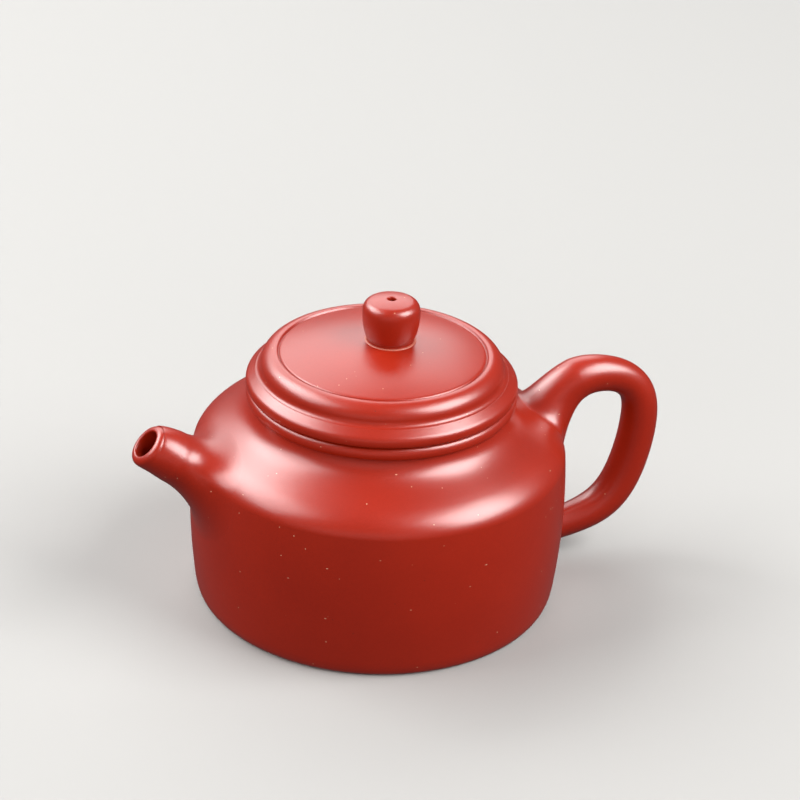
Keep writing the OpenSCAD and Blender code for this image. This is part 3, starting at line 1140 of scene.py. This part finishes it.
@dataclass(frozen=True)
class Strainer:
    """The pierced dome of clay inside the wall, in front of the spout's channel.

    Attributes:
        skin: the body's skin.
        centre: where the channel starts.
        radius: outer radius of the dome.
        clay: its thickness.
        hole_r: radius of its holes.
        rows: each row of holes, as its angle off the middle in degrees and its count.
    """

    skin: Skin
    centre: Array
    radius: float = 6.2
    clay: float = 1.3
    hole_r: float = 0.8
    rows: tuple = ((0, 1), (38, 6))

    def shell(self) -> Surface:
        """The dome, a ball's skin with its back left off, turned to look along +X.

        Returns:
            The dome, closed.
        """
        a = np.radians(np.linspace(0, 100, 41))
        arc = np.stack([np.sin(a), np.cos(a)], axis=1)
        outer, inner = self.radius * arc, (self.radius - self.clay) * arc
        dome = spin(join(outer, inner[::-1]))
        x, y, z = dome.points.T
        return Surface(np.stack([z, y, -x], axis=1) + self.centre, dome.quads, dome.triangles)

    def hollow(self) -> Surface:
        """The hollow of the pot as a solid, which the dome is cut down to."""
        parts = self.skin.hollow()
        return spin(join([[0, self.skin.base_t]], *parts.values(), [[0, parts["slope"][-1, 1]]]))

    def holes(self) -> list[Surface]:
        """The holes, as short rods to cut with.

        Returns:
            The rods, row by row.
        """
        rods = []
        for tilt, count in self.rows:
            for turn in range(count):
                a, b = math.radians(tilt), 2 * math.pi * turn / count
                way = np.array([math.cos(a), -math.sin(a) * math.sin(b), math.sin(a) * math.cos(b)])
                rods.append(rod(self.centre + 2 * way, self.centre + (self.radius + 2) * way, self.hole_r))
        return rods

    def build(self, maker: Maker) -> None:
        """Makes the strainer.

        Args:
            maker: puts it into the scene.
        """
        piece = maker.make(
            "clay_strainer", self.shell(), Body.POT, PLAIN, "spout_strainer", keep=self.hollow()
        )
        for hole in self.holes():
            maker.carve(piece, hole, "DIFFERENCE")
        maker.smooth(piece.data, False)


@dataclass(frozen=True)
class Handle:
    """The round loop of the handle, with a wide upper root and a narrow lower one.

    Attributes:
        skin: the body's skin.
        reach: distance of its outer edge from the axis of the pot.
        top: height of its crown.
        section_r: radius of its section at its back.
        start: where the free loop starts along its line.
        end: where the free loop ends along its line.
        upper: the upper root.
        lower: the lower root.
    """

    skin: Skin
    reach: float = 64.3
    top: float = 48.0
    section_r: float = 4.05
    start: float = 1.12
    end: float = 6.9
    upper: Root = Root(-3.5, 13.3, 10.0, 1, 1, 0.42)
    lower: Root = Root(-25.4, 5.6, 5.2, 1, -1)

    def line(self, u: Array) -> tuple[Array, Array, Array]:
        """The line that the loop follows, past eight places in the plane y = 0.

        Args:
            u: places along the line, from 0 to 7.

        Returns:
            The points there, the line's direction and the section's radius.
        """
        belly, back, r = self.skin.belly_r, self.reach - self.section_r, self.section_r
        places = np.array([
            [belly + 0.2, self.top - 11.1], [belly + 2.8, self.top - 4], [belly + 12.2, self.top - 4],
            [back - 2, self.top - 7.1], [back + 0.9, self.top - 13.5], [back - 1.3, self.top - 27.9],
            [back - 6.5, 10], [belly + 1.4, 7],
        ])
        radii = np.array([r + 1.6, r + 0.6, r - 0.25, r - 0.5, r, r + 0.05, r, r - 0.65])
        flat = through(places, u)
        step = through(places, u + 0.01) - through(places, u - 0.01)
        flat = np.insert(flat, 1, 0.0, axis=1)
        return flat, unit(np.insert(step, 1, 0.0, axis=1)), through(radii, u)[:, 0]

    def surface(self) -> Surface:
        """The whole handle: a seat, a root, the loop, the other root and its seat.

        Returns:
            The handle, closed.
        """
        centre, way, radius = self.line(np.linspace(self.start, self.end, 150))
        loop = ring(centre, way, radius)
        rings = np.concatenate([
            self.upper.seat(self.skin), self.upper.rings(self.skin, loop[0], way[0]), loop,
            self.lower.rings(self.skin, loop[-1], -way[-1])[::-1], self.lower.seat(self.skin)[::-1],
        ])
        return loft(rings, self.upper.middle(self.skin), self.lower.middle(self.skin))

    def build(self, maker: Maker) -> None:
        """Makes the handle."""
        maker.make("clay_handle", self.surface(), Body.POT, BURNISHED, "handle", on_skin=True)


@dataclass(frozen=True)
class Pot:
    """The pot's own pieces, from the base disc up to the mouth bead.

    Attributes:
        skin: the body's skin.
        spout: the spout, whose channel pierces the wall and the shoulder.
        bead_h: height of the mouth bead.
    """

    skin: Skin
    spout: Spout
    bead_h: float = 2.7

    @property
    def bead_top(self) -> float:
        """Height of the top of the mouth bead."""
        return self.skin.bead_z + self.bead_h

    def base_disc(self) -> Array:
        """The flat disc that the wall stands on, with the foot of the rounded heel."""
        return join([[0, 0]], below(self.skin.heel(), self.skin.base_t), [[0, self.skin.base_t]])

    def body_wall(self) -> Array:
        """The upright band of clay, beaten into a barrel.

        Returns:
            The outline's points, as a loop.
        """
        parts = self.skin.hollow()
        inner = join(parts["corner"], parts["side"])
        outer = above(join(self.skin.heel(), self.skin.wall()), self.skin.base_t)
        return join(outer, inner[::-1])

    def shoulder_disc(self) -> Array:
        """The top disc, with the rounded edge and the opening of the mouth.

        Returns:
            The outline's points, as a loop.
        """
        parts = self.skin.hollow()
        cove = self.skin.cove()
        outer = join(self.skin.rounded_edge(), cove[: len(cove) // 2 + 1])
        seat = [[self.skin.bore_r, self.skin.neck_seat[1]]]
        return join(outer, seat, parts["slope"][::-1], parts["turn"][::-1])

    def neck_ring(self) -> Array:
        """The coved ring that carries the mouth bead.

        Returns:
            The outline's points, as a loop.
        """
        cove = self.skin.cove()
        bore = self.skin.bore_r
        return join(cove[len(cove) // 2:], [[bore, self.skin.bead_z], [bore, self.skin.neck_seat[1]]])

    def mouth_bead(self) -> Array:
        """The half-round thread of clay round the mouth.

        Returns:
            The outline's points, as a loop.
        """
        r, z, top, bore = self.skin.mouth_d / 2, self.skin.bead_z, self.bead_top, self.skin.bore_r
        return join(
            bend([self.skin.neck, [r - 0.1, z - 0.1], [r + 0.2, z + 1], [r, z + 1.6]], 20),
            bend([[r, z + 1.6], [r - 0.15, z + 2.2], [r - 0.6, top], [r - 1.3, top]], 20),
            corner((r, top), (bore, top), (bore, z), 0.4),
            [[bore, z]],
        )

    def build(self, maker: Maker) -> None:
        """Makes the pot's own pieces.

        Args:
            maker: puts them into the scene.
        """
        channel = self.spout.channel()
        for node, outline, tool in (
            ("base_disc", self.base_disc(), None), ("body_wall", self.body_wall(), channel),
            ("shoulder_disc", self.shoulder_disc(), channel), ("neck_ring", self.neck_ring(), None),
            ("mouth_bead", self.mouth_bead(), None),
        ):
            maker.make(f"clay_{node}", spin(outline), Body.POT, BURNISHED, node, cut=tool, on_skin=True)


# ---- the lid ----


@dataclass(frozen=True)
class Lid:
    """The lid: a flat plate with a flange below, a rim round it and the dome above.

    Attributes:
        skin: the body's skin.
        seat_z: height of the mouth bead's top.
        gap: gap between the lid and the pot all round.
        rim_h: height of the rim band.
        rim_slope: how far in the rim's sloping face runs.
        dome_h: height of the dome above the rim band.
        groove_r: radius of the groove round the dome.
        flange_h: depth of the flange.
        flange_t: thickness of the flange.
        plate_t: thickness of the plate.
        knob_d: greatest diameter of the knob.
        knob_h: height of the knob.
        knob_shift: how far the knob stands off the axis, towards the handle.
        vent_d: diameter of the vent hole.
        slip_w: width of the thread of slip round the knob's foot.
        slip_h: its height.
    """

    skin: Skin
    seat_z: float
    gap: float = 0.2
    rim_h: float = 3.45
    rim_slope: float = 1.95
    dome_h: float = 6.95
    groove_r: float = 21.7
    flange_h: float = 6.0
    flange_t: float = 2.4
    plate_t: float = 2.4
    knob_d: float = 12.1
    knob_h: float = 9.4
    knob_shift: float = 1.5
    vent_d: float = 1.8
    slip_w: float = 0.6
    slip_h: float = 0.32

    @property
    def z(self) -> float:
        """Height of the lid's underside."""
        return self.seat_z + self.gap

    @property
    def rim_r(self) -> float:
        """Radius of the rim band."""
        return self.skin.mouth_d / 2 + 0.05

    @property
    def rim_top(self) -> float:
        """Height of the line under the cove."""
        return self.z + self.rim_h

    @property
    def dome_top(self) -> float:
        """Height of the crown of the dome."""
        return self.rim_top + self.dome_h

    @property
    def flange_r(self) -> float:
        """Outer radius of the flange."""
        return self.skin.bore_r - self.gap

    @property
    def plate_bore_r(self) -> float:
        """Inner radius of the plate and of the flange."""
        return self.flange_r - self.flange_t

    @property
    def plate_r(self) -> float:
        """Outer radius of the plate."""
        return self.rim_r - 2.9

    def plate(self) -> Array:
        """The flat ring that closes the underside of the lid round its hollow."""
        r, bore, z, top = self.plate_r, self.plate_bore_r, self.z, self.z + self.plate_t
        return join([[bore, z], [r, z], [r, top], [bore, top]])

    def rim(self) -> Array:
        """The band round the plate: upright edge, rounded top edge and sloping face.

        Returns:
            The outline's points, as a loop.
        """
        r, z = self.rim_r, self.z
        return join(
            [[self.plate_r, z]],
            bend([[r - 0.6, z], [r - 0.2, z], [r, z + 0.25], [r + 0.05, z + 0.8]], 14),
            bend([[r + 0.05, z + 0.8], [r + 0.1, z + 1.7], [r - 0.25, z + 2.1], [r - 0.6, z + 2.4]], 20),
            [[r - self.rim_slope, self.rim_top], [self.plate_r, self.rim_top]],
        )

    def flange(self) -> Array:
        """The upright ring that drops into the mouth, with its lower edges rounded.

        Returns:
            The outline's points, as a loop.
        """
        r, bore, z, low = self.flange_r, self.plate_bore_r, self.z, self.z - self.flange_h
        return join(
            [[bore, z]], corner((bore, z), (bore, low), (r, low), 0.5),
            corner((bore, low), (r, low), (r, z), 0.5), [[r, z]],
        )

    @property
    def groove_z(self) -> float:
        """Height of the groove round the dome."""
        return self.rim_top + 3.95

    @property
    def ball_r(self) -> float:
        """Radius of the ball that the dome is a cap of."""
        return self.groove_r**2 / 2 / (self.dome_top - self.groove_z - 0.1)

    def cap(self, radius: Array) -> Array:
        """Height of the dome at a distance from its axis: the top of a ball."""
        return self.dome_top - self.ball_r + np.sqrt(self.ball_r**2 - radius**2)

    def dome(self) -> Array:
        """The domed disc: cap, groove, round roll, cove, and its hollow underside.

        Returns:
            The outline's points, as a loop.
        """
        r = np.linspace(0, self.groove_r - 0.35, 60)
        g, gz, top, bore = self.groove_r, self.groove_z, self.rim_top, self.plate_bore_r
        line = self.rim_r - self.rim_slope
        cap = np.stack([r, self.cap(r)], axis=1)
        edge, bottom, roll = cap[-1], [g - 0.02, gz - 0.25], [g + 0.4, gz + 0.15]
        low = [line - 0.95, top + 1.25]
        floor = self.z + self.plate_t
        return join(
            cap,
            bend([edge, [g - 0.15, edge[1] - 0.08], [g - 0.12, gz - 0.15], bottom], 6),
            bend([bottom, [g + 0.12, gz - 0.3], [g + 0.2, gz - 0.1], roll], 6),
            bend([roll, [g + 1.5, gz + 0.5], [line - 1.1, gz - 0.7], low], 40),
            bend([low, [line - 0.85, top + 0.5], [line - 0.5, top + 0.1], [line, top]], 20),
            [[self.plate_r, top], [self.plate_r, floor]],
            bend([
                [bore + 0.6, floor], [bore + 0.2, gz - 2.6], [g - 7, self.dome_top - 3.6],
                [0, self.dome_top - 2.9],
            ], 40),
        )

    def vent(self) -> Surface:
        """The vent through the dome, as a rod to cut with.

        Returns:
            The rod.
        """
        start = np.array([self.knob_shift, 0.0, self.rim_top])
        end = np.array([self.knob_shift, 0.0, self.dome_top + 1])
        return rod(start, end, self.vent_d / 2, 48)

    def knob(self) -> Array:
        """The waisted button with a soft upper edge, bored by the vent.

        Returns:
            The outline's points, as a loop.
        """
        r, foot, bore = self.knob_d / 2, self.dome_top - 0.2, self.vent_d / 2
        top = foot + self.knob_h
        heel, belly, brow = [r - 1.2, foot + 0.05], [r, foot + 6.4], [r - 1.8, top - 0.4]
        waist, lip = [r - 0.9, foot + 0.95], [bore + 0.25, top - 0.02]
        return join(
            [[bore, foot + 0.1]],
            bend([heel, [r - 1.3, foot + 0.3], [r - 1.25, foot + 0.5], waist], 10),
            bend([waist, [r - 0.3, foot + 2.6], [r, foot + 4.4], belly], 30),
            bend([belly, [r, foot + 7.9], [r - 0.6, top - 0.65], brow], 30),
            bend([brow, [r - 3, top - 0.15], [bore + 0.8, top], lip], 20),
            bend([lip, [bore + 0.08, top - 0.05], [bore, top - 0.12], [bore, top - 0.35]], 8),
        )

    def slip(self) -> Array:
        """The thread of slip squeezed out round the knob's foot, a flattened round section.

        Returns:
            The outline's points, as a loop.
        """
        a = np.radians(np.linspace(0, 360, 25))[:-1]
        middle = self.knob_d / 2 - 0.95
        foot = self.cap(np.array(middle)) + 0.01
        return np.stack([middle + self.slip_w / 2 * np.cos(a), foot + self.slip_h / 2 * np.sin(a)], axis=1)

    def build(self, maker: Maker) -> None:
        """Makes the lid's pieces.

        Args:
            maker: puts them into the scene.
        """
        for node, outline, clay, centre, tool in (
            ("lid_plate", self.plate(), PLAIN, 0.0, None), ("lid_rim", self.rim(), BURNISHED, 0.0, None),
            ("lid_flange", self.flange(), PLAIN, 0.0, None),
            ("lid_dome", self.dome(), BURNISHED, 0.0, self.vent()),
            ("knob", self.knob(), BURNISHED, self.knob_shift, None),
        ):
            maker.make(f"clay_{node}", spin(outline, centre), Body.LID, clay, node, cut=tool)
        maker.make("knob_slip_ring", spin(self.slip(), self.knob_shift), Body.LID, SLIP)


# ---- the studio ----


@dataclass(frozen=True)
class Softbox:
    """A soft studio lamp.

    Attributes:
        name: its name.
        azimuth: where it stands round the pot, in degrees from +X towards +Y.
        elevation: how high it stands, in degrees.
        distance: how far off it stands, in metres.
        size: its width and height, in metres.
        power: its power, in watts.
        shines: leaves a reflection in the clay; a fill lamp does not.
        lights: lights the clay; a lamp for the sheen alone does not.
    """

    name: str
    azimuth: float
    elevation: float
    distance: float
    size: tuple
    power: float
    shines: bool = True
    lights: bool = True

    def build(self, aim: Vector) -> None:
        """Puts the lamp up.

        Args:
            aim: the point that it is turned towards.
        """
        data = bpy.data.lights.new(self.name, "AREA")
        data.shape = "RECTANGLE"
        data.size, data.size_y = self.size
        data.energy = self.power
        lamp = bpy.data.objects.new(self.name, data)
        bpy.context.collection.objects.link(lamp)
        a, e = math.radians(self.azimuth), math.radians(self.elevation)
        back = Vector((math.cos(e) * math.cos(a), math.cos(e) * math.sin(a), math.sin(e)))
        lamp.location = aim + back * self.distance
        lamp.rotation_euler = (-back).to_track_quat("-Z", "Y").to_euler()
        lamp.visible_glossy = self.shines
        lamp.visible_diffuse = self.lights


LAMPS = (
    Softbox("window", 94.0, 37.0, 1.2, (1.6, 0.85), 14.0),
    Softbox("right_lamp", -35.0, 42.0, 1.2, (0.85, 0.75), 21.0),
    Softbox("right_sheen", -36.0, 42.0, 1.1, (0.8, 0.7), 10.0, lights=False),
    Softbox("left_lamp", 156.0, 43.0, 1.2, (1.15, 0.75), 17.0),
    Softbox("left_sheen", 136.0, 45.0, 1.1, (0.75, 0.6), 8.0, lights=False),
    Softbox("front_fill", -120.0, 14.0, 1.2, (2.0, 0.6), 10.0, shines=False),
)


@dataclass(frozen=True)
class Studio:
    """The plain pale floor, the soft light and the camera.

    Attributes:
        turn: how far the camera stands round from the pot's side view, in degrees.
        distance: the camera's level distance from the axis of the pot.
        height: the camera's height.
        pitch: how far it looks down, in degrees.
        yaw: how far it looks off the axis, in degrees.
        roll: how far it leans, in degrees.
        focal: its focal length as a share of the picture's width.
        lamps: the lamps.
        aim: the height that they are turned towards, in metres.
        pale: the floor's colour.
        floor_size: half the floor's width, in metres.
        sky: the colour of the faint light all round.
        sky_strength: its strength.
    """

    turn: float = 20.0
    distance: float = 483.72
    height: float = 298.62
    pitch: float = 27.747
    yaw: float = 0.471
    roll: float = 2.525
    focal: float = 3.25
    lamps: tuple = LAMPS
    aim: float = 0.03
    pale: tuple = (0.36, 0.353, 0.34)
    floor_size: float = 3.0
    sky: tuple = (0.80, 0.84, 0.90)
    sky_strength: float = 0.12

    def camera(self) -> None:
        """Puts up the camera.

        It looks along +Y, turned right by yaw, down by pitch and leaned by roll,
        and the whole stand is then turned round the pot by turn.
        """
        y, p, r = (math.radians(v) for v in (self.yaw, self.pitch, self.roll))
        ahead = Vector((math.sin(y) * math.cos(p), math.cos(y) * math.cos(p), -math.sin(p)))
        right = Vector((math.cos(y), -math.sin(y), 0.0))
        up = right.cross(ahead)
        right, up = math.cos(r) * right + math.sin(r) * up, -math.sin(r) * right + math.cos(r) * up
        stand = Matrix.Rotation(-math.radians(self.turn), 4, "Z")
        axes = Matrix((right, up, -ahead)).transposed().to_4x4()
        place = Matrix.Translation(Vector((0.0, -self.distance, self.height)) * MM)
        data = bpy.data.cameras.new("camera")
        data.sensor_width = 36.0
        data.lens = self.focal * data.sensor_width
        data.clip_start, data.clip_end = 0.01, 20.0
        camera = bpy.data.objects.new("camera", data)
        bpy.context.collection.objects.link(camera)
        camera.matrix_world = stand @ place @ axes
        bpy.context.scene.camera = camera

    def floor(self) -> None:
        """Lays the plain pale floor."""
        mesh = bpy.data.meshes.new("floor")
        far = self.floor_size
        mesh.from_pydata([(-far, -far, 0), (far, -far, 0), (far, far, 0), (-far, far, 0)], [], [(0, 1, 2, 3)])
        floor = bpy.data.objects.new("floor", mesh)
        bpy.context.collection.objects.link(floor)
        material = bpy.data.materials.new("pale_floor")
        material.use_nodes = True
        tree = NodeTree(material.node_tree)
        tree.fill(tree.shader(), {"Base Color": self.pale, "Roughness": 0.8})
        mesh.materials.append(material)
        floor.visible_diffuse = floor.visible_glossy = False

    def light(self) -> None:
        """Puts up the lamps and the faint light all round."""
        for lamp in self.lamps:
            lamp.build(Vector((0.0, 0.0, self.aim)))
        world = bpy.data.worlds.new("studio")
        world.use_nodes = True
        tree = NodeTree(world.node_tree)
        tree.fill(world.node_tree.nodes["Background"], {"Color": self.sky, "Strength": self.sky_strength})
        bpy.context.scene.world = world
        bpy.context.scene.view_settings.view_transform = "Standard"

    def build(self) -> None:
        """Sets the whole studio up."""
        self.camera()
        self.floor()
        self.light()


def main() -> None:
    """Builds the studio and every piece of the teapot, in order."""
    logging.basicConfig(level=logging.INFO, format="%(name)s: %(message)s")
    Studio().build()
    skin = Skin()
    maker = Maker(skin)
    spout = Spout(skin)
    pot = Pot(skin, spout)
    pot.build(maker)
    spout.build(maker)
    Strainer(skin, spout.inside).build(maker)
    Handle(skin).build(maker)
    Lid(skin, pot.bead_top).build(maker)


if __name__ == "__main__":
    main()
